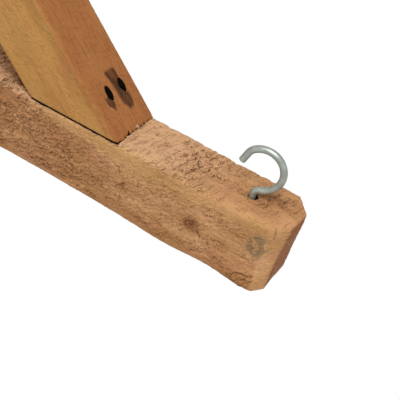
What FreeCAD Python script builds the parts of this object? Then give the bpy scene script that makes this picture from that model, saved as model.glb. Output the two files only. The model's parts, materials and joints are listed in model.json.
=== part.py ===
import FreeCAD, Part
import math
import os

# A rough-sawn timber wall bracket for a hanging basket, with a screw hook.
#
# Row frame, millimetres: the origin is on the wall plane, midway between the
# two wall fixing holes. +X runs out from the wall along the arm, +Z is up and
# +Y is to the left of a person who looks out from the wall.

V = FreeCAD.Vector

# ---------------------------------------------------------------- dimensions
# Timber
timber_width = 45.0            # across the bracket, all three timbers
timber_depth = 52.0            # back plate along X and arm along Z
arris_radius = 2.0             # long edges are worn round
end_clip_long = 15.0           # corner clipped off a timber's end, across it
end_clip_short = 12.0          # the same corner, along the timber

plate_half_height = 165.0
wall_hole_height = 142.0       # each wall hole, above and below the origin
wall_hole_diameter = 6.5
wall_head_diameter = 14.0      # counterbore for the wall screw's head
wall_head_depth = 10.0

arm_underside = 75.0
arm_reach = 380.0              # free end of the arm, from the wall
arm_end_slope = 6.0            # the free end is cut back this much at the top

brace_depth = 50.0
brace_angle = 43.0             # between the brace and the arm
brace_toe_reach = 253.2        # outer corner of the brace under the arm

# Screws that hold the timbers together
brace_screw_length = 50.0
brace_screw_diameter = 3.0
brace_head_diameter = 5.4
pocket_clearance = 0.1         # pocket radius over the screw head's radius
pocket_entry = 32.2            # centre of a pocket's mouth, from the brace's corner
pocket_depth = 14.0            # from the mouth's centre down to the screw head
pocket_tilt = 17.0             # screw against the joint face's normal
foot_screw_offsets = {"left": 4.5, "right": -10.4}
head_screw_offsets = {"left": 7.0, "right": -7.0}

arm_screw_length = 100.0
arm_screw_diameter = 5.0
arm_head_diameter = 10.0
arm_head_sink = 12.0           # head below the plate's wall face
arm_screw_inset = 13.0         # from the arm's upper and lower faces
arm_screw_offset = 8.0         # to either side of the middle

screw_clearance = 0.05         # wood to metal, on the radius
screw_head_height = 0.45       # countersunk head, as a share of its diameter
screw_point_height = 1.5       # point, as a share of the screw's diameter
recess_width = 0.9             # cross recess
recess_depth = 1.6

# Screw hook
hook_wire = 4.8
hook_reach = 344.5             # shank's axis, from the wall
hook_offset = 2.0              # shank's axis, from the middle of the arm
hook_swing = 7.9               # loop's plane, turned from the arm's direction
hook_thread = 30.0             # shank inside the timber
hook_hole = 31.0
hook_rise = 1.2                # straight neck below the arm
neck_radius = 5.1
neck_end = 14.4                # direction after the neck's bend
throat_radius = 15.9
throat_end = 128.6             # direction after the wide lower bend
loop_radius = 13.9
loop_end = 221.6
tip_radius = 8.0               # tighter bend before the straight tip
tip_end = 249.3
tip_length = 7.6               # straight, up to the square cut
hook_point = 4.0               # tapered point at the buried end


# ------------------------------------------------------------------- timbers
def prism(points, direction):
    """A straight timber: a closed flat outline, pushed along a direction."""
    outline = Part.makePolygon(points + points[:1])
    return Part.Face(outline).extrude(direction)


def soften(timber, direction, radius):
    """Rounds the timber's long edges, which run along the direction."""
    unit = V(direction).normalize()
    long_edges = []
    for edge in timber.Edges:
        start, end = (vertex.Point for vertex in edge.Vertexes)
        along = (end - start).normalize()
        if abs(along.dot(unit)) > 0.9999:
            long_edges.append(edge)
    return timber.makeFillet(radius, long_edges)


def cut_all(timber, tools):
    for tool in tools:
        timber = timber.cut(tool)
    return timber


def clipped_rectangle(half_width, low, high, clip_low):
    """Half-width and end corners of a dog-eared timber, as (across, along)."""
    inner = half_width - end_clip_long
    points = [(inner, high), (half_width, high - end_clip_short)]
    if clip_low:
        points += [(half_width, low + end_clip_short), (inner, low)]
    else:
        points.append((half_width, low))
    mirrored = [(-across, along) for across, along in reversed(points)]
    return points + mirrored


def back_plate():
    outline = clipped_rectangle(timber_width / 2, -plate_half_height,
                                plate_half_height, clip_low=True)
    points = [V(0, across, along) for across, along in outline]
    plate = soften(prism(points, V(timber_depth, 0, 0)), V(0, 0, 1), arris_radius)
    tools = []
    for height in (-wall_hole_height, wall_hole_height):
        tools.append(Part.makeCylinder(wall_hole_diameter / 2, timber_depth,
                                       V(0, 0, height), V(1, 0, 0)))
        tools.append(Part.makeCylinder(wall_head_diameter / 2, wall_head_depth,
                                       V(timber_depth, 0, height), V(-1, 0, 0)))
    return cut_all(plate, tools)


def arm():
    outline = clipped_rectangle(timber_width / 2, timber_depth, arm_reach,
                                clip_low=False)
    points = [V(along, across, arm_underside) for across, along in outline]
    timber = prism(points, V(0, 0, timber_depth))
    timber = soften(timber, V(1, 0, 0), arris_radius)
    top = arm_underside + timber_depth
    wedge = prism([V(arm_reach, -timber_width, arm_underside),
                   V(arm_reach, -timber_width, top),
                   V(arm_reach - arm_end_slope, -timber_width, top)],
                  V(0, 2 * timber_width, 0))
    shank_hole = Part.makeCylinder(hook_wire / 2 + screw_clearance, hook_hole,
                                   V(hook_reach, hook_offset, arm_underside),
                                   V(0, 0, 1))
    return cut_all(timber, [wedge, shank_hole])


def brace():
    angle = math.radians(brace_angle)
    heel = brace_toe_reach - brace_depth / math.sin(angle)
    half = timber_width / 2

    def drop(reach):
        return arm_underside - (reach - timber_depth) * math.tan(angle)

    points = [V(brace_toe_reach, -half, arm_underside),
              V(heel, -half, arm_underside),
              V(timber_depth, -half, drop(heel)),
              V(timber_depth, -half, drop(brace_toe_reach))]
    timber = prism(points, V(0, timber_width, 0))
    return soften(timber, V(math.cos(angle), 0, math.sin(angle)), arris_radius)


# -------------------------------------------------------------------- screws
class Screw:
    """A countersunk wood screw: where its head's flat top is, and its line."""

    def __init__(self, length, diameter, head_diameter, seat, direction, sink):
        self.length = length
        self.radius = diameter / 2
        self.head_radius = head_diameter / 2
        self.seat = seat
        self.direction = V(direction).normalize()
        self.sink = sink

    def turned(self, grow):
        """The screw's outline turned about its line, grown by a clearance."""
        head_height = 2 * self.head_radius * screw_head_height
        point_height = 2 * self.radius * screw_point_height
        radius = self.radius + grow
        outline = [V(0, 0, 0), V(self.head_radius + grow, 0, 0),
                   V(radius, 0, head_height),
                   V(radius, 0, self.length - point_height),
                   V(0, 0, self.length + grow)]
        face = Part.Face(Part.makePolygon(outline + outline[:1]))
        return face.revolve(V(0, 0, 0), V(0, 0, 1), 360)

    def placed(self, shape):
        turn = FreeCAD.Rotation(V(0, 0, 1), self.direction)
        shape.Placement = FreeCAD.Placement(self.seat, turn)
        return shape

    def solid(self):
        body = self.turned(0)
        width = self.head_radius * 1.1
        for size in ((width, recess_width), (recess_width, width)):
            slot = Part.makeBox(size[0], size[1], recess_depth,
                                V(-size[0] / 2, -size[1] / 2, 0))
            body = body.cut(slot)
        return self.placed(body)

    def hole(self):
        """The room that the screw and the pocket over its head take up."""
        room = self.turned(screw_clearance)
        pocket = Part.makeCylinder(self.head_radius + pocket_clearance, self.sink,
                                   V(0, 0, -self.sink))
        return self.placed(room.fuse(pocket))


def brace_screw(corner, along_brace, joint_normal, tilt_axis_sign, offset):
    """A screw through a pocket in the brace's outer face, into the timber it meets."""
    mouth = corner + along_brace * pocket_entry + V(0, offset, 0)
    tilt = FreeCAD.Rotation(V(0, 1, 0), tilt_axis_sign * pocket_tilt)
    direction = tilt.multVec(joint_normal)
    seat = mouth + direction * pocket_depth
    pocket_length = pocket_depth + 2 * brace_head_diameter
    return Screw(brace_screw_length, brace_screw_diameter, brace_head_diameter,
                 seat, direction, pocket_length)


def all_screws():
    angle = math.radians(brace_angle)
    up_brace = V(math.cos(angle), 0, math.sin(angle))
    toe = V(brace_toe_reach, 0, arm_underside)
    plate_corner = V(timber_depth, 0, arm_underside
                     - (brace_toe_reach - timber_depth) * math.tan(angle))
    screws = {}
    for side, offset in foot_screw_offsets.items():
        screws["brace_foot_screw_" + side] = brace_screw(
            toe, -up_brace, V(0, 0, 1), 1, offset)
    for side, offset in head_screw_offsets.items():
        screws["brace_head_screw_" + side] = brace_screw(
            plate_corner, up_brace, V(-1, 0, 0), -1, offset)
    heights = {"lower": arm_underside + arm_screw_inset,
               "upper": arm_underside + timber_depth - arm_screw_inset}
    for place, height in heights.items():
        offset = -arm_screw_offset if place == "lower" else arm_screw_offset
        screws["arm_screw_" + place] = Screw(
            arm_screw_length, arm_screw_diameter, arm_head_diameter,
            V(arm_head_sink, offset, height), V(1, 0, 0), arm_head_sink)
    return screws


# ---------------------------------------------------------------- screw hook
def hook_place(outward, below):
    """A point of the hook's plane: along the loop, and below the arm's face."""
    swing = math.radians(hook_swing)
    return V(hook_reach + outward * math.cos(swing),
             hook_offset - outward * math.sin(swing),
             arm_underside - below)


def bend(start, radius, heading, new_heading):
    """A tangent arc in the hook's plane, from one heading to another."""
    turn = 1 if new_heading > heading else -1

    def at(angle):
        across = math.sin(math.radians(angle)) - math.sin(math.radians(heading))
        down = math.cos(math.radians(heading)) - math.cos(math.radians(angle))
        return (start[0] + turn * radius * across, start[1] + turn * radius * down)

    middle = at((heading + new_heading) / 2)
    end = at(new_heading)
    arc = Part.Arc(hook_place(*start), hook_place(*middle), hook_place(*end))
    return arc.toShape(), end


def screw_hook():
    buried = hook_thread - hook_point
    neck_start = (0, hook_rise)
    edges = [Part.LineSegment(hook_place(0, -buried), hook_place(*neck_start)).toShape()]
    place = neck_start
    heading = 90.0
    for radius, new_heading in ((neck_radius, neck_end), (throat_radius, throat_end),
                                (loop_radius, loop_end), (tip_radius, tip_end)):
        edge, place = bend(place, radius, heading, new_heading)
        heading = new_heading
        edges.append(edge)
    tip = (place[0] + tip_length * math.cos(math.radians(tip_end)),
           place[1] + tip_length * math.sin(math.radians(tip_end)))
    edges.append(Part.LineSegment(hook_place(*place), hook_place(*tip)).toShape())
    section = Part.Wire(Part.makeCircle(hook_wire / 2, hook_place(0, -buried),
                                        V(0, 0, -1)))
    rod = Part.Wire(edges).makePipeShell([section], True, False)
    point = Part.makeCone(hook_wire / 2, hook_wire / 12, hook_point,
                          hook_place(0, -buried), V(0, 0, 1))
    return rod.fuse(point).removeSplitter()


# --------------------------------------------------------------------- build
def build():
    screws = all_screws()
    holes = {name: screw.hole() for name, screw in screws.items()}
    timbers = {"back_plate": back_plate(), "arm": arm(), "brace": brace()}
    drilled_by = {"back_plate": ("arm_screw", "brace_head_screw"),
                  "arm": ("arm_screw", "brace_foot_screw"),
                  "brace": ("brace_foot_screw", "brace_head_screw")}
    nodes = {}
    for name, timber in timbers.items():
        tools = [holes[key] for key in holes if key.startswith(drilled_by[name])]
        nodes[name] = cut_all(timber, tools)
    for name, screw in screws.items():
        nodes[name] = screw.solid()
    nodes["screw_hook"] = screw_hook()
    return nodes


os.makedirs("parts", exist_ok=True)
for node, shape in build().items():
    shape.exportStep("parts/" + node + ".step")
    print(node, "solids", len(shape.Solids), "valid", shape.isValid(),
          "volume", round(shape.Volume))
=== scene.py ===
import json
import math

import bmesh
import bpy
import numpy as np
from mathutils import Euler, Matrix, Vector


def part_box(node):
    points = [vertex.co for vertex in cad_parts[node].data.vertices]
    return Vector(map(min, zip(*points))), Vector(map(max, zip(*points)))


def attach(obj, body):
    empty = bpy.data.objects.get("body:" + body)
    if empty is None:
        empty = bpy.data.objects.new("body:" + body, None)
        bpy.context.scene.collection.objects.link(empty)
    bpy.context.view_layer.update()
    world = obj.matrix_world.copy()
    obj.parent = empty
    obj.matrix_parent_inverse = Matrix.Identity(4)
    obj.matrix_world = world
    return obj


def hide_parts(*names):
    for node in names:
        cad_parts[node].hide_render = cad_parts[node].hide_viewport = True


# The looks of a rough-sawn timber basket bracket. Lengths are in metres, in
# the row frame: +X out from the wall along the arm, +Z up, hook underneath.

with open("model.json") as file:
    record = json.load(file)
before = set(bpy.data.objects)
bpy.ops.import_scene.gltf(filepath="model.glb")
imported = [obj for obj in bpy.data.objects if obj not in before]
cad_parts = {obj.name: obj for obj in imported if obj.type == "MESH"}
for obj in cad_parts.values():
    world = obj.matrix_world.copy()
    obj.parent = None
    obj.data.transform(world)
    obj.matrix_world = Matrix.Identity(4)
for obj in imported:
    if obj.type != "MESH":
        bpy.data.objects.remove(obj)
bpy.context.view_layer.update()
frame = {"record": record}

MM = 0.001
joint = frame["record"]["behaviour"]["joints"][0]
hook_axis = Vector(joint["pos_m"])            # where the shank leaves the arm
plate_low, plate_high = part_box("back_plate")
arm_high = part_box("arm")[1]
brace_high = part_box("brace")[1]

# ------------------------------------------------------ driving dimensions
timber_depth = plate_high.x - plate_low.x
half_width = arm_high.y
arm_underside = arm_high.z - timber_depth
end_clip_long = 15 * MM                       # dog-eared corners, across
end_clip_short = 12 * MM                      # and along the timber
arm_end_slope = 6 * MM
brace_angle = math.radians(43)
brace_depth = 50 * MM
toe_reach = brace_high.x                      # outer corner of the brace

wall_hole_height = 142 * MM
wall_hole_radius = 3.25 * MM
wall_head_radius = 7 * MM
wall_head_depth = 10 * MM

brace_screw_length = 50 * MM
brace_screw_radius = 1.5 * MM
brace_head_radius = 2.7 * MM
pocket_radius = 2.8 * MM
pocket_entry = 32.2 * MM
pocket_depth = 14 * MM
pocket_tilt = math.radians(17)
foot_screw_offsets = {"left": 4.5 * MM, "right": -10.4 * MM}
head_screw_offsets = {"left": 7 * MM, "right": -7 * MM}
brace_thread_pitch = 1.5 * MM

arm_screw_length = 100 * MM
arm_screw_radius = 2.5 * MM
arm_screw_head_radius = 5 * MM
arm_screw_sink = 12 * MM                      # from the wall face to the head
arm_screw_inset = 13 * MM                     # from the arm's upper and lower faces
arm_screw_offset = 8 * MM
arm_counterbore_radius = 5.1 * MM
arm_thread_pitch = 2.4 * MM

wire_radius = 2.4 * MM
hook_swing = math.radians(7.9)
hook_bore_radius = 2.7 * MM
hook_bore_length = 33 * MM
hook_thread_length = 30 * MM
hook_thread_pitch = 1.9 * MM
hook_thread_root = 1.75 * MM
hook_point_length = 4 * MM
hook_plain_length = 3 * MM                    # unthreaded shank above the underside
hook_rise = 1.2 * MM                          # straight wire below the arm
# Each bend's radius, and the heading in degrees where it ends.
hook_bends = ((5.1 * MM, 14.4), (15.9 * MM, 128.6), (13.9 * MM, 221.6), (8.0 * MM, 249.3))
hook_spacing = 0.6 * MM                       # between rings of the wire's mesh
tip_length = 7.6 * MM
tip_steps = 14

timber_voxel = 0.85 * MM
round_sides = 48                              # faces round a screw and round the wire
rings_per_turn = 14                           # of a screw thread

camera_place = (0.5239, 0.5408, -0.3443)
camera_turn = tuple(math.radians(angle) for angle in (-128.39, 11.97, -30.92))
camera_lens = 99.2                            # on a sensor 36 wide


# ------------------------------------------------------------- noise fields
def hashed(cell, seed):
    """A repeatable whole number for each whole-number place."""
    mixed = (cell[:, 0] * 374761393 + cell[:, 1] * 668265263
             + cell[:, 2] * 1442695041 + seed * 974634777) & 0xFFFFFFFF
    mixed = ((mixed ^ (mixed >> 13)) * 1274126177) & 0xFFFFFFFF
    return mixed ^ (mixed >> 16)


def noise(places, size, seed):
    """Smooth noise from about -1 to 1; size is the feature size on each axis."""
    scaled = places / np.asarray(size, float)
    cell = np.floor(scaled).astype(np.int64)
    offset = scaled - cell
    ease = offset ** 3 * (offset * (offset * 6 - 15) + 10)
    total = np.zeros(len(places))
    for corner in np.ndindex(2, 2, 2):
        corner = np.array(corner)
        number = hashed(cell + corner, seed)
        slope = np.stack([number & 1023, (number >> 10) & 1023, (number >> 20) & 1023], 1)
        slope = slope / 511.5 - 1
        weight = np.prod(np.where(corner, ease, 1 - ease), axis=1)
        total += weight * np.sum(slope * (offset - corner), axis=1)
    return total * 1.5


def layered(places, size, seed, layers=3):
    """Noise with finer and weaker layers added."""
    size = np.asarray(size, float)
    total = np.zeros(len(places))
    for layer in range(layers):
        total += noise(places, size / 2 ** layer, seed + layer) / 2 ** layer
    return total


def step(low, high, value):
    """0 below low, 1 above high, and smooth between."""
    ratio = np.clip((value - low) / (high - low), 0, 1)
    return ratio * ratio * (3 - 2 * ratio)


def blob(value, centre, width):
    return np.exp(-((value - centre) / width) ** 2)


# ------------------------------------------------------------ mesh builders
def new_object(name, mesh):
    thing = bpy.data.objects.new(name, mesh)
    bpy.context.scene.collection.objects.link(thing)
    return thing


def mesh_from_bmesh(name, shape):
    mesh = bpy.data.meshes.new(name)
    bmesh.ops.recalc_face_normals(shape, faces=shape.faces)
    shape.to_mesh(mesh)
    shape.free()
    return mesh


def rounded_section(half, low, high, radii, steps=6):
    """A rectangle with rounded corners, as (across, height) points.
    radii go round from the (+, low) corner to (+, high), (-, high), (-, low)."""
    corners = ((half, low, -90), (half, high, 0), (-half, high, 90), (-half, low, 180))
    points = []
    for (across, height, start), radius in zip(corners, radii):
        middle = (across - math.copysign(radius, across),
                  height + (radius if height == low else -radius))
        for index in range(steps + 1):
            angle = math.radians(start + 90 * index / steps)
            points.append((middle[0] + radius * math.cos(angle),
                           middle[1] + radius * math.sin(angle)))
    return points


def prism(section, start, end, place):
    """A bmesh prism: section points at two stations, put in place by a function."""
    shape = bmesh.new()
    rings = [[shape.verts.new(place(along, *point)) for point in section]
             for along in (start, end)]
    shape.faces.new(rings[0])
    shape.faces.new(list(reversed(rings[1])))
    count = len(section)
    for index in range(count):
        following = (index + 1) % count
        shape.faces.new((rings[0][index], rings[1][index],
                         rings[1][following], rings[0][following]))
    bmesh.ops.recalc_face_normals(shape, faces=shape.faces)
    return shape


def slice_off(shape, point, outward):
    """Cuts away what lies beyond a plane and closes the cut."""
    everything = shape.verts[:] + shape.edges[:] + shape.faces[:]
    cut = bmesh.ops.bisect_plane(shape, geom=everything, dist=1e-7, plane_co=point,
                                 plane_no=outward, clear_outer=True)
    rim = [item for item in cut["geom_cut"] if isinstance(item, bmesh.types.BMEdge)]
    bmesh.ops.contextual_create(shape, geom=rim)


def clip_corners(shape, reach, place, sign):
    """Dog-ears one end: the two corners of the timber's wide face are cut off."""
    for side in (-1, 1):
        point = place(reach - sign * end_clip_short, side * half_width, 0)
        normal = (place(sign * end_clip_long, side * end_clip_short, 0)
                  - place(0, 0, 0)).normalized()
        slice_off(shape, point, normal)


def rod(start, direction, radius, length, sides=32):
    """A round cutter from start along direction."""
    shape = bmesh.new()
    turn = direction.to_track_quat("Z", "Y").to_matrix().to_4x4()
    matrix = Matrix.Translation(start + direction * (length / 2)) @ turn
    bmesh.ops.create_cone(shape, cap_ends=True, segments=sides, radius1=radius,
                          radius2=radius, depth=length, matrix=matrix)
    return shape


def carve(timber, cutters):
    """Takes the cutters out of the timber and remeshes it with even small faces."""
    holes = []
    for number, cutter in enumerate(cutters):
        hole = new_object(f"{timber.name}_hole_{number}", mesh_from_bmesh("hole", cutter))
        holes.append(hole)
        cut = timber.modifiers.new("cut", "BOOLEAN")
        cut.object = hole
        cut.solver = "EXACT"
    remesh = timber.modifiers.new("remesh", "REMESH")
    remesh.mode = "VOXEL"
    remesh.voxel_size = timber_voxel
    soften = timber.modifiers.new("soften", "SMOOTH")
    soften.iterations = 2
    made = bpy.data.meshes.new_from_object(
        timber.evaluated_get(bpy.context.evaluated_depsgraph_get()))
    timber.modifiers.clear()
    timber.data = made
    for hole in holes:
        bpy.data.objects.remove(hole)


def read(mesh, what):
    """Vertex places or normals as an array, in millimetres for places."""
    values = np.zeros(len(mesh.vertices) * 3)
    if what == "normal":
        mesh.vertex_normals.foreach_get("vector", values)
        return values.reshape(-1, 3)
    mesh.vertices.foreach_get("co", values)
    return values.reshape(-1, 3) / MM


def write_places(mesh, places):
    mesh.vertices.foreach_set("co", (places * MM).ravel())
    mesh.update()


def store(mesh, name, red, green, blue):
    """Keeps three masks on the mesh for its material."""
    layer = mesh.color_attributes.new(name, "FLOAT_COLOR", "POINT")
    values = np.ones((len(mesh.vertices), 4), np.float32)
    for channel, mask in enumerate((red, green, blue)):
        values[:, channel] = np.clip(mask, 0, 1)
    layer.data.foreach_set("color", values.ravel())


# ----------------------------------------------------------- sawn surfaces
class Grain:
    """A timber's own directions: along the grain, across it, and its depth."""

    def __init__(self, mesh, origin, along, across):
        along, across = np.array(along, float), np.array(across, float)
        axes = np.stack([along, across, np.cross(along, across)])
        self.place = (read(mesh, "place") - np.array(origin, float) / MM) @ axes.T
        self.normal = read(mesh, "normal") @ axes.T
        self.side = 1 - np.abs(self.normal[:, 0])      # 0 on end grain


def fibres(grain, seed):
    """Fine raised fibres that run along the timber."""
    fine = layered(grain.place, (14, 1.3, 1.3), seed, 2)
    return 0.10 * fine


def saw_lines(grain, seed, pitch=6.5, slant=0.25):
    """Shallow marks that the saw leaves straight across the grain."""
    u = grain.place[:, 0] + slant * (grain.place[:, 1] + grain.place[:, 2])
    u = u + 1.8 * noise(grain.place, (30, 14, 14), seed)
    wave = np.abs(np.mod(u / pitch, 1) - 0.5) * 2
    strength = step(-0.2, 0.5, noise(grain.place, (40, 18, 18), seed + 1))
    return 0.22 * strength * (step(0.55, 1.0, wave) - 0.3)


def torn_scales(grain, seed, amount):
    """Overlapping flakes of torn grain: slow rises that end in sudden drops.
    They run at a slant to the grain, because the saw lifted the fibres as it passed."""
    u, v, w = grain.place.T
    ramp = (0.8 * w + 0.42 * u + 0.14 * v) / 5.0
    warp = layered(grain.place, (9.5, 8, 6), seed, 2)
    rise = np.mod(1.3 * warp + ramp, 1)
    height = 1.25 * amount * (rise ** 1.4 - 0.4)
    # Besides the height, painted shade: a dark band at the foot of each drop, where the next layer would
    # shade it.
    return height, 0.3 * amount * step(0.16, 0.0, rise)


def slit(grain, centre, length, lean, width, depth, seed):
    """A dark split: places near a short wavering line. lean is in radians."""
    u = grain.place[:, 0] - centre[0]
    h = grain.place[:, centre[2]] - centre[1]
    along = u * math.cos(lean) + h * math.sin(lean)
    beside = -u * math.sin(lean) + h * math.cos(lean)
    beside = beside + 0.8 * noise(grain.place, (4, 4, 4), seed)
    mask = step(1, 0, np.abs(beside) / width) * step(length / 2, length / 3, np.abs(along))
    return -depth * mask, mask


def round_over(mesh, mask, passes):
    """Wears edges round: each pass moves a masked vertex towards its neighbours."""
    ends = np.zeros(len(mesh.edges) * 2, np.int64)
    mesh.edges.foreach_get("vertices", ends)
    first, second = ends.reshape(-1, 2).T
    size = len(mesh.vertices)
    links = np.bincount(first, minlength=size) + np.bincount(second, minlength=size)
    places = read(mesh, "place")
    for _ in range(passes):
        total = np.stack([np.bincount(first, places[second, axis], size)
                          + np.bincount(second, places[first, axis], size)
                          for axis in range(3)], 1)
        places += 0.5 * mask[:, None] * (total / links[:, None] - places)
    write_places(mesh, places)


def hollow_mask(depth):
    """Depth in millimetres within a hole that is painted black as shade, packed around one half."""
    return 0.5 + depth / 4


def relief(grain, seed, scales):
    """The whole surface's height in millimetres, and its painted shade in the creases of torn grain from
    0 to 1.
    """
    broad = 0.30 * layered(grain.place, (60, 20, 20), seed, 2)
    torn, shade = torn_scales(grain, seed + 10, scales)
    sawn = saw_lines(grain, seed + 20) * grain.side
    fine = fibres(grain, seed + 30) * grain.side
    ends = 0.18 * layered(grain.place, (2.5, 1.6, 1.6), seed + 40, 2) * (1 - grain.side)
    return broad + (torn + sawn + fine) * grain.side + ends, shade * grain.side


def raise_surface(mesh, height):
    """Moves each vertex along its own normal."""
    normal = read(mesh, "normal")
    write_places(mesh, read(mesh, "place") + normal * height[:, None])


def shift(mesh, axis, distance):
    """Moves each vertex along one of the frame's axes, in millimetres."""
    places = read(mesh, "place")
    places[:, axis] += distance
    write_places(mesh, places)


def patches(grain, seed, size=(26, 9, 9), low=-0.1, high=0.45):
    return step(low, high, layered(grain.place, size, seed, 2))


# ----------------------------------------------------------------- timbers
def arm_place(along, across, height):
    return Vector((along, across, arm_underside + height))


def plate_place(along, across, height):
    return Vector((height, across, along))


brace_down = Vector((-math.cos(brace_angle), 0, -math.sin(brace_angle)))
brace_inward = Vector((-math.sin(brace_angle), 0, math.cos(brace_angle)))
toe = Vector((toe_reach, 0, arm_underside))
plate_drop = (toe_reach - timber_depth) * math.tan(brace_angle)
plate_corner = Vector((timber_depth, 0, arm_underside - plate_drop))


def brace_place(along, across, height):
    return toe + brace_down * along + Vector((0, across, 0)) + brace_inward * height


def screw_line(corner, along_brace, joint_normal, turn, offset):
    """Where a brace screw's head sits, and the direction it points."""
    mouth = corner + along_brace * pocket_entry + Vector((0, offset, 0))
    tilt = Matrix.Rotation(turn * pocket_tilt, 3, "Y")
    direction = tilt @ joint_normal
    return mouth + direction * pocket_depth, direction


def brace_screw_lines():
    lines = {}
    for side, offset in foot_screw_offsets.items():
        lines["brace_foot_screw_" + side] = screw_line(
            toe, brace_down, Vector((0, 0, 1)), 1, offset)
    for side, offset in head_screw_offsets.items():
        lines["brace_head_screw_" + side] = screw_line(
            plate_corner, -brace_down, Vector((-1, 0, 0)), -1, offset)
    return lines


def make_arm():
    section = rounded_section(half_width, 0, timber_depth,
                              (4.2 * MM, 2.4 * MM, 2.4 * MM, 1.8 * MM))
    reach = arm_high.x
    shape = prism(section, timber_depth, reach + 5 * MM, arm_place)
    slice_off(shape, arm_place(reach, 0, 0),
              Vector((timber_depth, 0, arm_end_slope)).normalized())
    clip_corners(shape, reach, arm_place, 1)
    timber = new_object("sawn_arm", mesh_from_bmesh("sawn_arm", shape))
    up = Vector((0, 0, 1))
    mouth = hook_axis + Vector((2.2 * MM, -0.6 * MM, -2 * MM))
    carve(timber, [rod(hook_axis - up * 2 * MM, up, hook_bore_radius, hook_bore_length),
                   rod(mouth, Vector((-0.25, 0.05, 1)).normalized(), 2.6 * MM, 7 * MM)])
    mesh = timber.data
    x, y, z = read(mesh, "place").T
    worn = step(352, 360, x) * step(-6, 4, y) * step(119, 108, z)
    round_over(mesh, worn, 80)
    grain = Grain(mesh, (0, 0, arm_underside), (1, 0, 0), (0, 1, 0))
    u, v, w = grain.place.T
    near = step(0.2, 0.8, grain.normal[:, 1])
    facet = near * step(0.3, 0.6, grain.normal[:, 0])
    side = near * step(0.45, 0.2, grain.normal[:, 0])
    below = step(0.2, 0.8, -grain.normal[:, 2])
    hidden = 1 - np.maximum(near, below)
    toe_x = toe_reach / MM

    torn = patches(grain, 101)
    band_edge = w + 1.5 * noise(grain.place, (9, 9, 9), 105)
    smooth_band = step(12, 7, band_edge) * step(188, 200, u)
    near_torn = (0.5 + 0.3 * torn + 0.35 * step(255, 205, u)) * (1 - 0.6 * smooth_band) * step(50, 46, w)
    near_torn = near_torn * (1 - 0.4 * step(325, 350, u))
    layers = side * blob(u, 360, 13) * blob(w, 48, 4)
    cluster = blob(u, 305, 17) * step(-26, -12, v)
    by_hook = blob(u, 359, 9) * blob(v, -3, 9)
    face_torn = 0.4 + 0.6 * np.maximum(cluster, by_hook) + 0.3 * torn
    # Left of the brace's foot the face is torn throughout; the painted crease shade that comes with it
    # also stands in for the brace's shadow there.
    face_torn = np.maximum(face_torn, step(180, 170, u))
    face_torn = face_torn * (1 - 0.55 * step(300, 325, u) * step(4, 12, v))
    tears = near * near_torn + below * face_torn * 0.9 + hidden * (0.3 + 0.3 * torn)
    tears = np.maximum(tears, layers) * (1 - 0.35 * facet)
    height, crack_shade_and_knot = relief(grain, 110, tears)

    under_brace = below * step(toe_x + 1.5, toe_x - 1.5, u)
    under_brace = under_brace * step(175, 181, u)
    height = height * (1 - 0.85 * under_brace) - 0.25 * under_brace
    # The wandering outer corner of the free end stands a little proud.
    bulge = blob(u, 361, 12) * blob(w, 52, 10) * step(0, 20, v)
    height = height + 2.6 * bulge
    far_edge = step(-16, -21, v) * step(toe_x + 2, toe_x + 8, u) * step(9, 2, w)
    notch = step(0.0, 0.6, layered(grain.place, (8, 30, 30), 106, 2))
    height = height - 0.55 * far_edge * notch

    splits = (((362, 43.2, 2), 18, -0.30, 0.9, 1.4, side),
              ((365, 46.0, 2), 11, -0.18, 0.7, 1.1, side),
              ((371.5, 6, 2), 11, 1.48, 0.55, 0.9, facet),
              ((323.5, 33, 2), 6, 0.9, 0.9, 1.2, side),
              ((312.5, 30, 2), 6, 1.3, 0.7, 1.0, side),
              ((318.5, 25.5, 2), 6, -0.4, 0.7, 1.0, side),
              ((190.3, 10, 2), 13, 1.50, 0.6, 1.1, side),
              ((273, 21.5, 2), 9, 1.50, 0.6, 1.0, side),
              ((260.5, 28.5, 2), 12, -0.75, 1.0, 1.4, side),
              ((257, 17.5, 2), 6, 1.35, 0.7, 1.0, side),
              ((301, -2, 1), 9, 1.2, 0.6, 0.9, below),
              ((338.3, 4.9, 1), 8, -0.17, 0.7, 1.0, below),
              ((352.4, 3, 1), 8, 0.23, 0.7, 0.9, below),
              ((356.3, -7.3, 1), 10, -0.20, 0.8, 1.0, below),
              ((363.8, -9.3, 1), 8, -0.34, 0.7, 0.9, below),
              ((367.7, -14, 1), 8, -1.37, 0.6, 0.8, below))
    for number, (centre, length, lean, width, depth, face) in enumerate(splits):
        dip, mask = slit(grain, centre, length, lean, width, depth, 150 + number)
        height = height + dip * face
        # Each split is also painted dark down in the crack, as shade.
        crack_shade_and_knot = np.maximum(crack_shade_and_knot, mask * face)
    # The hook's bore stays smooth above its ragged mouth, so the shank turns clear.
    from_axis = np.hypot(u - hook_axis.x / MM, v - hook_axis.y / MM)
    bore = step(4.2, 3.4, from_axis) * step(2, 5, w) * step(40, 36, w)
    height = height * (1 - bore)
    knot = blob(u, 316.5, 6.2) * blob(w, 28.8, 5.6) * near
    ring = np.sin(np.hypot(u - 316.5, (w - 28.8) * 1.15) * 2.6
                  + 1.5 * noise(grain.place, (5, 5, 5), 170))
    height = height + knot * (0.35 * ring - 0.3)
    # The knot's own darker rings go into the same channel as the painted crack shade.
    crack_shade_and_knot = np.maximum(crack_shade_and_knot, 0.95 * knot * step(-0.2, 0.6, ring))
    raise_surface(mesh, height)
    # The sawn timber is a little fuller than a straight one, with a belly by the knot.
    belly = 0.85 + 2.7 * blob(u, 299, 32) + 1.0 * blob(u, 346, 10)
    fuller = belly * step(30, 50, w) * step(-8, 14, v) * step(378, 366, u)
    far_corner = 1.3 * step(355, 368, u) * step(24, 44, w)
    shift(mesh, 2, np.maximum(fuller, far_corner))
    shift(mesh, 1, -0.7 * step(-12, -20, v) * step(16, 4, w) * step(315, 295, u))
    shift(mesh, 0, 0.5 * step(366, 374, u))

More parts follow.
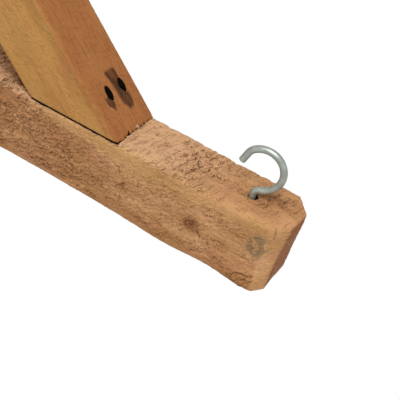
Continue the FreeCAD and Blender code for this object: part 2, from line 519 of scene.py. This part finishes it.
    golden = step(-0.4, 0.4, noise(grain.place, (30, 8, 8), 180))
    green = side * step(17, 4, w) * step(186, 198, u) * (0.35 + 0.65 * golden)
    green = green * (0.55 + 0.45 * step(-0.3, 0.3, noise(grain.place, (5, 3, 3), 183)))
    green = np.maximum(green, 0.45 * facet * golden)
    grey = near * blob(u, 364, 8) * blob(w, 19, 11)
    grey = grey * step(-0.3, 0.1, layered(grain.place, (3.2, 4, 4.5), 181, 2))
    # A faint dark streak beside the hook's base, running towards +X and -Y, kept in the stain channel.
    dark_streak_by_hook = below * blob(u, 359, 10) * blob(v, -5 - (u - 359) * 0.35, 2.6) * 0.2
    end = step(0.86, 0.97, np.abs(grain.normal[:, 0]))
    pale = np.maximum(below * step(350, 272, u), 0.2 * facet + 0.15 * below)
    # Painted shade: near black where the brace's foot meets the arm, and within the hook's ragged hole.
    lip = 1.25 + 0.35 * noise(grain.place, (5, 5, 5), 182)
    gap_shade = np.minimum.reduce([lip - w, u - 181, toe_x - 0.6 - u, v - 12])
    reach = np.hypot(u - hook_axis.x / MM - 1, v - hook_axis.y / MM)
    hole = np.minimum.reduce([5.5 - reach, w - 0.5, 34 - w])
    store(mesh, "marks", crack_shade_and_knot, green, grey)
    store(mesh, "tints", end, pale, np.maximum(dark_streak_by_hook, 0.2 * knot))
    round_hook = blob(u, 352, 24) * blob(v, 8, 20)
    brown = below * np.maximum(0.7 * by_hook, 0.5 * round_hook)
    brown = np.maximum(brown, 0.95 * knot)
    brown = np.maximum(brown, 0.3 * near * step(260, 200, u) * (1 - green))
    brown = np.maximum(brown, 0.2 * near * step(36, 50, w))
    brown = np.maximum(brown, 0.4 * side * step(318, 345, u) * step(26, 40, w))
    store(mesh, "wear", tears, hollow_mask(np.maximum(gap_shade, hole)), brown)
    finish_timber(timber, "arm", wood("arm_wood", (0, 0, 0), ARM_TONES))


def make_plate():
    section = rounded_section(half_width, 0, timber_depth,
                              (2 * MM, 2.6 * MM, 2.6 * MM, 2 * MM))
    shape = prism(section, plate_low.z, plate_high.z, plate_place)
    for sign, reach in ((-1, plate_low.z), (1, plate_high.z)):
        clip_corners(shape, reach, plate_place, sign)
    timber = new_object("sawn_back_plate", mesh_from_bmesh("sawn_back_plate", shape))
    outward = Vector((1, 0, 0))
    cutters = []
    for height in (-wall_hole_height, wall_hole_height):
        start = Vector((-5 * MM, 0, height))
        cutters.append(rod(start, outward, wall_hole_radius, timber_depth + 10 * MM))
        counterbore = Vector((timber_depth - wall_head_depth, 0, height))
        cutters.append(rod(counterbore, outward, wall_head_radius, 20 * MM))
    for seat, direction in arm_screw_lines().values():
        cutters.append(rod(seat - direction * 20 * MM, direction,
                           arm_counterbore_radius, 20 * MM))
    carve(timber, cutters)
    mesh = timber.data
    grain = Grain(mesh, (0, 0, 0), (0, 0, 1), (0, 1, 0))
    u, v, _ = grain.place.T
    torn = patches(grain, 201)
    front = step(0.3, 0.8, read(mesh, "normal")[:, 0])
    back = step(0.3, 0.8, -read(mesh, "normal")[:, 0])
    x, z = (read(mesh, "place")[:, axis] for axis in (0, 2))
    joints = front * step(127.5, 126.5, z) * step(-113.5, -112, z)
    tears = (0.35 + 0.4 * torn) * (1 - 0.6 * back) * (1 - joints)
    height, crack_shade_and_knot = relief(grain, 210, tears)
    height = height * (1 - 0.7 * back)
    height = np.where(joints > 0.5, np.minimum(height, 0.05) * 0.4 - 0.15, height)
    raise_surface(mesh, height)
    green = step(0.1, 0.6, noise(grain.place, (50, 16, 16), 220)) * 0.5
    end = step(0.55, 0.9, np.abs(grain.normal[:, 0]))
    stain = 0.9 * blob(np.hypot(v, np.abs(z) - wall_hole_height / MM), 7, 3) * front
    # Painted shade: the counterbores for the arm's screws are painted black within.
    hole = -np.ones(len(u))
    for seat, _ in arm_screw_lines().values():
        reach = np.hypot(v - seat.y / MM, z - seat.z / MM)
        hole = np.maximum(hole, np.minimum.reduce([5.9 - reach, x - 1.5, 14 - x]))
    store(mesh, "marks", crack_shade_and_knot, green, np.zeros(len(u)))
    store(mesh, "tints", end, 0.4 * front, stain)
    store(mesh, "wear", tears, hollow_mask(hole), np.zeros(len(u)))
    finish_timber(timber, "back_plate",
                  wood("back_plate_wood", (0, math.radians(-90), 0), PLATE_TONES))


def make_brace():
    section = rounded_section(half_width, 0, brace_depth,
                              (2.6 * MM, 3.4 * MM, 2.4 * MM, 2 * MM))
    length = brace_depth + (toe_reach - timber_depth) / math.cos(brace_angle)
    shape = prism(section, -brace_depth, length + brace_depth, brace_place)
    slice_off(shape, Vector((0, 0, arm_underside)), Vector((0, 0, 1)))
    slice_off(shape, Vector((timber_depth, 0, 0)), Vector((-1, 0, 0)))
    timber = new_object("sawn_brace", mesh_from_bmesh("sawn_brace", shape))
    cutters = []
    for seat, direction in brace_screw_lines().values():
        cutters.append(rod(seat - direction * 32 * MM, direction, pocket_radius, 32 * MM))
    carve(timber, cutters)
    mesh = timber.data
    grain = Grain(mesh, toe, brace_down, (0, 1, 0))
    u, v, w = grain.place.T
    w = -w
    near = step(0.2, 0.8, grain.normal[:, 1])
    outer = step(0.2, 0.8, grain.normal[:, 2])
    torn = patches(grain, 301)
    tears = 0.12 + 0.25 * torn * (1 - outer) * (1 - 0.7 * near)
    height, crack_shade_and_knot = relief(grain, 310, tears)
    height = height * 0.6
    place = read(mesh, "place")
    x, _, z = place.T
    foot = step(arm_underside / MM - 1.2, arm_underside / MM - 0.4, z)
    head = step(timber_depth / MM + 1.2, timber_depth / MM + 0.4, x)
    # The foot stands on the arm inside, and gapes a little along the near side.
    chips = layered(grain.place, (1.6, 1.6, 1.6), 330, 2)
    toe_edge = blob(np.hypot(w, (arm_underside / MM - z)), 0, 1.8)
    height = height * (1 - foot) * (1 - head)
    height = height - 1.4 * toe_edge * step(0.0, 0.5, chips)
    height = height - foot * (0.15 + 0.45 * step(14, 21.5, v)) - 0.15 * head
    # Painted shade: the foot is darkened along the near side, where it meets the arm.
    crack_shade_and_knot = np.maximum(crack_shade_and_knot, foot * step(12, 20, v))
    raise_surface(mesh, height)
    shift(mesh, 1, -0.8 * step(-12, -20, v))

    stains = np.zeros(len(u))
    rim = np.zeros(len(u))
    wander = 1.2 * noise(grain.place, (6, 3, 3), 340)
    for low, high, start, drift, width in ((18, 31, 6.6, 0.16, 3.3),
                                           (13.5, 46, -8.2, 0.09, 5.3)):
        middle = start + drift * (u - low)
        spread = width * (0.5 + 0.5 * step(low, low + 9, u))
        across = np.abs(v + wander - middle) / spread
        along = step(low, low + 3, u) * step(high, high - 3, u)
        stains = np.maximum(stains, step(1.15, 0.75, across) * along)
        rim = np.maximum(rim, blob(across, 1.2, 0.1) * along * (v > middle) * step(27, 24, u))
    streaks = 0.75 + 0.25 * step(-0.3, 0.2, noise(grain.place, (12, 0.9, 0.9), 341))
    stains = stains * outer * streaks
    # Painted shade: the screw pockets are painted black within.
    hole = -np.ones(len(u))
    for seat, direction in brace_screw_lines().values():
        offset = place - np.array(seat) / MM
        beside = np.linalg.norm(np.cross(offset, np.array(direction)), axis=1)
        hole = np.maximum(hole, np.minimum(pocket_radius / MM + 0.8 - beside, w - 0.5))
    # Painted shade: ragged black chips along the toe, where the foot meets the arm.
    frayed = 0.9 + 4.5 * layered(grain.place, (9, 1.9, 9), 342, 2)
    toe_chips = np.minimum(frayed - u, 3 - w)
    end = step(0.7, 0.95, np.abs(grain.normal[:, 0])) * foot
    golden = patches(grain, 343, (40, 12, 12))
    store(mesh, "marks", crack_shade_and_knot, near * (1 - outer) * (0.25 + 0.6 * golden),
          np.zeros(len(u)))
    fleck = blob(v, -3.2, 0.8) * blob(u, 1.8, 1.2) * outer
    store(mesh, "tints", end, np.maximum(fleck, 0.25 * rim * outer * (v > 0)), stains)
    arris = 0.6 * near * step(10, 1, w)
    store(mesh, "wear", tears, hollow_mask(np.maximum(hole, toe_chips)),
          np.maximum(outer, arris))
    finish_timber(timber, "brace", wood("brace_wood", (0, brace_angle, 0), BRACE_TONES))


def finish_timber(timber, node, material):
    timber.data.materials.append(material)
    timber.data.shade_smooth()
    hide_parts(node)
    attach(timber, "bracket")


# --------------------------------------------------------------- materials
ARM_TONES = {"light": (0.55, 0.30, 0.14), "mid": (0.385, 0.19, 0.08),
             "dark": (0.20, 0.085, 0.033), "patch": (0.42, 0.215, 0.075),
             "pale": (0.64, 0.395, 0.23), "rosy": (0.47, 0.225, 0.125),
             "pale_amount": 0.6}
PLATE_TONES = {"light": (0.47, 0.25, 0.12), "mid": (0.36, 0.18, 0.078),
               "dark": (0.19, 0.083, 0.033), "patch": (0.38, 0.20, 0.075),
               "pale": (0.58, 0.34, 0.18), "rosy": (0.44, 0.21, 0.115),
               "pale_amount": 0.5}
BRACE_TONES = {"light": (0.48, 0.24, 0.078), "mid": (0.40, 0.185, 0.056),
               "dark": (0.22, 0.08, 0.028), "patch": (0.49, 0.265, 0.068),
               "pale": (0.92, 0.74, 0.68), "rosy": (0.42, 0.165, 0.07),
               "pale_amount": 1.0}
# The next two colours are painted shade, in cracks, pits and at the feet of torn layers; the first also
# colours the knot's rings.
CRACK_SHADE_AND_KNOT = (0.075, 0.024, 0.008)
SHADED = (0.14, 0.040, 0.012)
GREEN = (0.42, 0.25, 0.075)
GREY = (0.155, 0.122, 0.072)
IRON = (0.048, 0.02, 0.010)
END_GRAIN = (0.20, 0.07, 0.028)
WARM = (0.27, 0.095, 0.034)
# Painted shade: near black within holes and where parts meet.
HOLLOW_SHADE = (0.004, 0.003, 0.002)


class Nodes:
    """A short way to write a material's node tree."""

    def __init__(self, name):
        self.material = bpy.data.materials.new(name)
        self.material.use_nodes = True
        self.tree = self.material.node_tree
        self.shader = self.tree.nodes["Principled BSDF"]

    def add(self, kind, settings=None, **inputs):
        node = self.tree.nodes.new("ShaderNode" + kind)
        for key, value in (settings or {}).items():
            setattr(node, key, value)
        for key, value in inputs.items():
            self.put(node, key.replace("_", " "), value)
        return node

    def put(self, node, socket, value):
        socket = node.inputs[int(socket) if socket.isdigit() else socket]
        if isinstance(value, bpy.types.NodeSocket):
            self.tree.links.new(value, socket)
        elif isinstance(value, tuple) and len(value) == 3 and socket.type == "RGBA":
            socket.default_value = (*value, 1)
        else:
            socket.default_value = value

    def mix(self, amount, first, second, blend="MIX"):
        node = self.tree.nodes.new("ShaderNodeMix")
        node.data_type = "RGBA"
        node.blend_type = blend
        for index, value in ((0, amount), (6, first), (7, second)):
            self.put(node, str(index), value)
        return node.outputs[2]

    def math(self, operation, first, second=0.0):
        node = self.tree.nodes.new("ShaderNodeMath")
        node.operation = operation
        self.put(node, "0", first)
        self.put(node, "1", second)
        return node.outputs[0]

    def ramp(self, value, low, high, from_value=0.0, to_value=1.0):
        node = self.add("MapRange", {"interpolation_type": "SMOOTHSTEP"},
                        Value=value, From_Min=low, From_Max=high,
                        To_Min=from_value, To_Max=to_value)
        return node.outputs[0]

    def noise(self, vector, stretch, detail=3.0, rough=0.55, distort=0.0):
        scaled = self.add("Mapping", Vector=vector, Scale=stretch).outputs[0]
        node = self.add("TexNoise", Vector=scaled, Scale=1.0, Detail=detail,
                        Roughness=rough, Distortion=distort)
        return node.outputs[0]


def torn_grain(n, place, tears):
    """Torn layers, as three values: painted shade in the crease at a layer's foot, painted soft shade
    beside it, and the layer's rise from its foot to its lip."""
    axes = n.add("SeparateXYZ", Vector=place).outputs
    ramp = n.math("MULTIPLY", axes[2], 0.8)
    ramp = n.math("ADD", ramp, n.math("MULTIPLY", axes[0], 0.46))
    ramp = n.math("ADD", ramp, n.math("MULTIPLY", axes[1], 0.14))
    warp = n.math("MULTIPLY", n.noise(place, (115, 28, 185), 2, 0.5), 3.0)
    rise = n.math("FRACT", n.math("ADD", n.math("DIVIDE", ramp, 0.0032), warp))
    # The saw lifted the fibres in strokes a few millimetres apart.
    stroke = n.math("ADD", axes[0], n.math("MULTIPLY", axes[2], 0.35))
    stroke = n.math("ADD", n.math("DIVIDE", stroke, 0.0056),
                    n.math("MULTIPLY", n.noise(place, (60, 110, 110), 2), 2.6))
    wave = n.math("ABSOLUTE", n.math("SUBTRACT", n.math("FRACT", stroke), 0.5))
    gate = n.math("MULTIPLY", n.ramp(wave, 0.07, 0.18),
                  n.ramp(n.noise(place, (100, 150, 150), 3), 0.38, 0.53))
    gate = n.math("MULTIPLY", gate, tears)
    # Painted shade: a dark line in the crease at each layer's foot, and a soft shade beside it.
    line = n.math("MULTIPLY", n.ramp(rise, 0.17, 0.03), gate)
    shade = n.math("MULTIPLY", n.ramp(rise, 0.55, 0.0), gate)
    return line, shade, n.math("MULTIPLY", n.math("POWER", rise, 1.3), gate)


def wood(name, turn, tones):
    n = Nodes(name)
    place = n.add("TexCoord").outputs["Object"]
    place = n.add("Mapping", Vector=place, Rotation=turn).outputs[0]
    masks = {}
    for key in ("marks", "tints", "wear"):
        stored = n.add("Attribute", {"attribute_name": key}).outputs["Color"]
        masks[key] = n.add("SeparateColor", Color=stored).outputs
    crack_shade_and_knot, green, grey = masks["marks"]
    end_grain, pale, stain = masks["tints"]
    tears, hollow_shade, warm = masks["wear"]

    broad = n.noise(place, (18, 55, 55), 3)
    streak = n.noise(place, (45, 420, 420), 4, 0.6)
    thread = n.noise(place, (180, 2400, 2400), 3, 0.6)
    fibre = n.noise(place, (70, 1100, 1100), 3, 0.6)
    speck = n.noise(place, (900, 2600, 2600), 3, 0.65)
    pit = n.noise(place, (330, 900, 900), 2, 0.5)
    line, shade, rise = torn_grain(n, place, tears)

    colour = n.mix(n.ramp(broad, 0.35, 0.66), tones["mid"], tones["light"])
    colour = n.mix(n.ramp(streak, 0.54, 0.72, 0, 0.55), colour, tones["dark"])
    colour = n.mix(n.ramp(n.noise(place, (28, 90, 90), 2), 0.5, 0.72, 0, 0.5),
                   colour, tones["patch"])
    colour = n.mix(n.ramp(n.noise(place, (34, 75, 75), 3), 0.52, 0.66, 0, 0.5),
                   colour, tones["rosy"])
    colour = n.mix(n.math("MULTIPLY", warm, 0.72), colour, WARM)
    colour = n.mix(n.math("MULTIPLY", pale, tones["pale_amount"]), colour, tones["pale"])
    colour = n.mix(n.math("MULTIPLY", green, 0.5), colour, GREEN)
    colour = n.mix(n.ramp(thread, 0.52, 0.75, 0, 0.38), colour, tones["dark"])
    colour = n.mix(n.ramp(thread, 0.44, 0.25, 0, 0.25), colour, tones["light"])
    colour = n.mix(n.math("MULTIPLY", n.ramp(fibre, 0.5, 0.66, 0, 0.8), warm),
                   colour, tones["dark"])
    # Painted shade in small pits.
    colour = n.mix(n.ramp(pit, 0.68, 0.78, 0, 0.35), colour, CRACK_SHADE_AND_KNOT)
    colour = n.mix(n.math("MULTIPLY", end_grain, 0.75), colour, END_GRAIN)
    colour = n.mix(n.math("MULTIPLY", n.ramp(grey, 0.2, 0.7), 0.62), colour, GREY)
    colour = n.mix(n.math("MULTIPLY", stain, 0.95), colour, IRON)
    # Painted highlight on each torn layer's lip, then painted shade at its foot.
    colour = n.mix(n.ramp(rise, 0.5, 0.95, 0, 0.5), colour, tones["light"])
    colour = n.mix(n.math("MULTIPLY", shade, 0.62), colour, SHADED)
    colour = n.mix(n.math("MULTIPLY", line, 0.95), colour, SHADED)
    # Painted shade in cracks, creases and where parts meet, with the knot's own darker rings.
    colour = n.mix(n.math("MULTIPLY", crack_shade_and_knot, 0.65), colour, CRACK_SHADE_AND_KNOT)
    # Painted shade: near black within holes and where parts meet.
    inside = n.ramp(n.math("ADD", hollow_shade, n.math("MULTIPLY", speck, 0.06)), 0.51, 0.57)
    colour = n.mix(inside, colour, HOLLOW_SHADE)
    n.put(n.shader, "Base Color", colour)
    n.put(n.shader, "Roughness", n.ramp(streak, 0.3, 0.8, 0.78, 0.95))
    n.shader.inputs["Specular IOR Level"].default_value = 0.05

    torn = n.add("Bump", Height=rise, Strength=1.0, Distance=0.0019)
    fine = n.math("ADD", n.math("MULTIPLY", thread, 0.9), n.math("MULTIPLY", speck, 0.5))
    fine = n.math("SUBTRACT", fine, n.ramp(pit, 0.64, 0.78, 0, 0.9))
    bump = n.add("Bump", Height=fine, Strength=0.55, Distance=0.0006,
                 Normal=torn.outputs[0])
    n.put(n.shader, "Normal", bump.outputs[0])
    return n.material


def galvanised(name):
    n = Nodes(name)
    place = n.add("TexCoord").outputs["Object"]
    cloud = n.noise(place, (150, 150, 150), 2)
    grit = n.noise(place, (2600, 2600, 2600), 2)
    tone = n.mix(n.ramp(cloud, 0.3, 0.7), (0.36, 0.40, 0.37), (0.45, 0.49, 0.44))
    tone = n.mix(n.ramp(n.noise(place, (520, 520, 520), 3), 0.6, 0.75, 0, 0.5),
                 tone, (0.20, 0.22, 0.20))
    n.put(n.shader, "Base Color", tone)
    n.shader.inputs["Metallic"].default_value = 0.8
    n.shader.inputs["Specular Tint"].default_value = (0.30, 0.31, 0.27, 1)
    n.put(n.shader, "Roughness", n.ramp(cloud, 0.3, 0.7, 0.41, 0.53))
    bump = n.add("Bump", Height=n.math("ADD", grit, n.math("MULTIPLY", cloud, 2.0)),
                 Strength=0.35, Distance=0.00012)
    n.put(n.shader, "Normal", bump.outputs[0])
    return n.material


def rusting_steel(name):
    n = Nodes(name)
    place = n.add("TexCoord").outputs["Object"]
    spots = n.noise(place, (420, 420, 420), 4, 0.6)
    rust = n.ramp(spots, 0.45, 0.62)
    n.put(n.shader, "Base Color", n.mix(rust, (0.30, 0.28, 0.25), (0.14, 0.055, 0.025)))
    n.put(n.shader, "Metallic", n.ramp(spots, 0.45, 0.62, 0.9, 0.1))
    n.put(n.shader, "Roughness", n.ramp(spots, 0.4, 0.65, 0.4, 0.85))
    bump = n.add("Bump", Height=spots, Strength=0.4, Distance=0.0002)
    n.put(n.shader, "Normal", bump.outputs[0])
    return n.material


# ----------------------------------------------------------- metal pieces
def skin(name, rings):
    """A closed mesh over rings of points; the first and last rings are closed by a point."""
    count = len(rings[0])
    points = [point for ring in rings for point in ring]
    first, last = len(points), len(points) + 1
    points += [sum(rings[0], Vector()) / count, sum(rings[-1], Vector()) / count]
    faces = []
    for ring in range(len(rings) - 1):
        for side in range(count):
            following = (side + 1) % count
            low, high = ring * count, (ring + 1) * count
            faces.append((low + side, low + following, high + following, high + side))
    end = (len(rings) - 1) * count
    for side in range(count):
        following = (side + 1) % count
        faces.append((first, following, side))
        faces.append((last, end + side, end + following))
    mesh = bpy.data.meshes.new(name)
    mesh.from_pydata(points, [], faces)
    mesh.validate()
    mesh.shade_smooth()
    return mesh


def thread_height(along, angle, pitch):
    """0 in the root and 1 on the crest of a wood screw's thread."""
    phase = (along / pitch - angle / (2 * math.pi)) % 1
    return max(0.0, 1 - abs(phase - 0.5) / 0.24)


def screw_rings(length, radius, head_radius, pitch):
    """Rings of a countersunk screw from the head's middle down to the point, along +Z."""
    head_height = 0.9 * head_radius
    rim_height = 0.05 * head_radius
    neck = radius * 0.8
    thread_start = length * 0.38
    core = radius * 0.68
    point_length = 2.6 * radius
    face_rings, cone_rings = 18, 8
    rings = []

    def ring(distance, height_at):
        made = []
        for side in range(round_sides):
            angle = 2 * math.pi * side / round_sides
            made.append(Vector((distance(angle) * math.cos(angle),
                                distance(angle) * math.sin(angle), height_at(angle))))
        rings.append(made)

    recess_reach = head_radius * 0.55
    recess_depth = head_radius * 0.42
    half_slot = head_radius * 0.12
    for index in range(1, face_rings + 1):
        spread = head_radius * 0.94 * index / face_rings

        def depth(angle, spread=spread):
            x, y = abs(spread * math.cos(angle)), abs(spread * math.sin(angle))
            arm = 1 if min(x, y) < half_slot and max(x, y) < recess_reach else 0
            return arm * recess_depth * (1 - 0.6 * spread / recess_reach)
        ring(lambda angle, spread=spread: spread, depth)
    ring(lambda angle: head_radius, lambda angle: rim_height)
    for index in range(1, cone_rings + 1):
        fall = index / cone_rings
        size = head_radius + (neck - head_radius) * fall
        ring(lambda angle, size=size: size,
             lambda angle, fall=fall: rim_height + head_height * fall)
    ring(lambda angle: neck, lambda angle: thread_start)
    stations = int((length - thread_start) / (pitch / rings_per_turn))
    for index in range(1, stations):
        along = thread_start + (length - thread_start) * index / stations
        taper = min(1.0, (length - along) / point_length)
        fade = min(1.0, (along - thread_start) / pitch)

        def size(angle, along=along, taper=taper, fade=fade):
            crest = thread_height(along, angle, pitch) * fade
            return (core + (radius - core) * crest) * max(taper, 0.04)
        ring(size, lambda angle, along=along: along)
    return rings


def place_screw(name, seat, direction, length, radius, head_radius, pitch, material):
    mesh = skin(name, screw_rings(length, radius, head_radius, pitch))
    turn = direction.to_track_quat("Z", "Y").to_matrix().to_4x4()
    mesh.transform(Matrix.Translation(seat) @ turn)
    mesh.materials.append(material)
    screw = new_object(name + "_threaded", mesh)
    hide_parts(name)
    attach(screw, "bracket")


def arm_screw_lines():
    lines = {}
    for place, height, offset in (
            ("lower", arm_screw_inset, -arm_screw_offset),
            ("upper", timber_depth - arm_screw_inset, arm_screw_offset)):
        seat = Vector((arm_screw_sink, offset, arm_underside + height))
        lines["arm_screw_" + place] = (seat, Vector((1, 0, 0)))
    return lines


def make_screws():
    steel = rusting_steel("screw_steel")
    for name, (seat, direction) in brace_screw_lines().items():
        place_screw(name, seat, direction, brace_screw_length, brace_screw_radius,
                    brace_head_radius, brace_thread_pitch, steel)
    for name, (seat, direction) in arm_screw_lines().items():
        place_screw(name, seat, direction, arm_screw_length, arm_screw_radius,
                    arm_screw_head_radius, arm_thread_pitch, steel)


# -------------------------------------------------------------------- hook
def hook_path(spacing):
    """Places along the bent wire above the thread, in its own plane."""
    places, heading = [(0.0, 0.0)], 90.0
    place = (0.0, hook_rise)
    for radius, new_heading in hook_bends:
        turn = 1 if new_heading > heading else -1
        count = max(3, round(radius * math.radians(abs(new_heading - heading)) / spacing))
        start, begin = place, math.radians(heading)
        for index in range(count + 1):
            angle = math.radians(heading + (new_heading - heading) * index / count)
            place = (start[0] + turn * radius * (math.sin(angle) - math.sin(begin)),
                     start[1] + turn * radius * (math.cos(begin) - math.cos(angle)))
            if index or places[-1] != place:
                places.append(place)
        heading = new_heading
    forward = math.radians(heading)
    for index in range(1, tip_steps + 1):
        reach = tip_length * index / tip_steps
        places.append((place[0] + reach * math.cos(forward),
                       place[1] + reach * math.sin(forward)))
    return places


def make_hook():
    swing = Vector((math.cos(hook_swing), -math.sin(hook_swing), 0))
    down = Vector((0, 0, -1))
    beside = swing.cross(down)
    thread_length, pitch, root = hook_thread_length, hook_thread_pitch, hook_thread_root
    rings = []

    def ring(centre, tangent, size):
        outward = tangent.cross(beside).normalized()
        rings.append([centre + (outward * math.cos(a) + beside * math.sin(a)) * size(a)
                      for a in (2 * math.pi * side / round_sides for side in range(round_sides))])

    stations = int(thread_length / (pitch / rings_per_turn))
    for index in range(1, stations + 1):
        along = thread_length * index / stations
        taper = min(1.0, along / hook_point_length)
        fade = min(1.0, max(0.0, (thread_length - hook_plain_length - along) / pitch))
        body = root + (wire_radius - root) * (1 - step(0, 1, np.float64(fade)))

        def size(angle, along=along, taper=taper, fade=fade, body=body):
            crest = thread_height(along, -angle, pitch) * fade
            return (body + (wire_radius - body) * crest) * max(taper, 0.05)
        ring(hook_axis + down * (along - thread_length), down, size)
    path = hook_path(hook_spacing)
    spots = [hook_axis + swing * x + down * y for x, y in path]
    for index in range(1, len(spots)):
        ahead = spots[min(index + 1, len(spots) - 1)]
        tangent = (ahead - spots[index - 1]).normalized()
        ring(spots[index], tangent, lambda angle: wire_radius)
    tip, tangent = spots[-1], (spots[-1] - spots[-2]).normalized()
    for forward, shrink in ((0.08, 0.99), (0.14, 0.93), (0.16, 0.75), (0.16, 0.4)):
        ring(tip + tangent * forward * MM, tangent,
             lambda angle, shrink=shrink: wire_radius * shrink)
    mesh = skin("bent_wire_hook", rings)
    mesh.materials.append(galvanised("zinc"))
    hook = new_object("bent_wire_hook", mesh)
    normal = read(mesh, "normal")
    place = read(mesh, "place")
    dents = 0.05 * noise(place, (5, 5, 5), 401) + 0.025 * noise(place, (1.6, 1.6, 1.6), 402)
    dents = dents * step(75.5, 73.5, place[:, 2])
    write_places(mesh, place + normal * dents[:, None])
    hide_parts("screw_hook")
    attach(hook, "hook")


# ------------------------------------------------------------------- stage
def make_light(name, place, target, size, power, colour=(1, 1, 1)):
    lamp = bpy.data.lights.new(name, "AREA")
    lamp.shape = "DISK"
    lamp.size = size
    lamp.energy = power
    lamp.color = colour
    light = bpy.data.objects.new(name, lamp)
    light.location = place
    light.rotation_euler = (Vector(target) - Vector(place)).to_track_quat("-Z", "Y").to_euler()
    bpy.context.scene.collection.objects.link(light)


def make_stage():
    scene = bpy.context.scene
    camera = bpy.data.cameras.new("camera")
    camera.sensor_width = 36
    camera.lens = camera_lens
    viewer = bpy.data.objects.new("camera", camera)
    viewer.location = camera_place
    viewer.rotation_euler = Euler(camera_turn)
    scene.collection.objects.link(viewer)
    scene.camera = viewer

    world = bpy.data.worlds.new("studio")
    scene.world = world
    world.use_nodes = True
    tree = world.node_tree
    tree.nodes.clear()
    output = tree.nodes.new("ShaderNodeOutputWorld")
    seen, soft = (tree.nodes.new("ShaderNodeBackground") for _ in range(2))
    seen.inputs[0].default_value = (1, 1, 1, 1)
    seen.inputs[1].default_value = 1.0
    soft.inputs[0].default_value = (1.0, 0.99, 0.97, 1)
    soft.inputs[1].default_value = 0.68
    choose = tree.nodes.new("ShaderNodeMixShader")
    rays = tree.nodes.new("ShaderNodeLightPath")
    tree.links.new(rays.outputs["Is Camera Ray"], choose.inputs[0])
    tree.links.new(soft.outputs[0], choose.inputs[1])
    tree.links.new(seen.outputs[0], choose.inputs[2])
    tree.links.new(choose.outputs[0], output.inputs[0])
    scene.view_settings.view_transform = "Standard"

    middle = (0.25, 0, 0.06)
    make_light("key", (0.70, 0.75, -1.14), middle, 0.7, 19)
    make_light("top", (0.7, -0.5, 1.4), middle, 1.2, 16)
    floor = bpy.data.meshes.new("floor")
    floor.from_pydata([(-6, -6, -2.2), (6, -6, -2.2), (6, 6, -2.2), (-6, 6, -2.2)], [],
                      [(0, 1, 2, 3)])
    ground = new_object("floor", floor)
    n = Nodes("pale_floor")
    n.shader.inputs["Base Color"].default_value = (0.82, 0.81, 0.79, 1)
    n.shader.inputs["Roughness"].default_value = 0.8
    floor.materials.append(n.material)


make_stage()
make_arm()
make_plate()
make_brace()
make_screws()
make_hook()
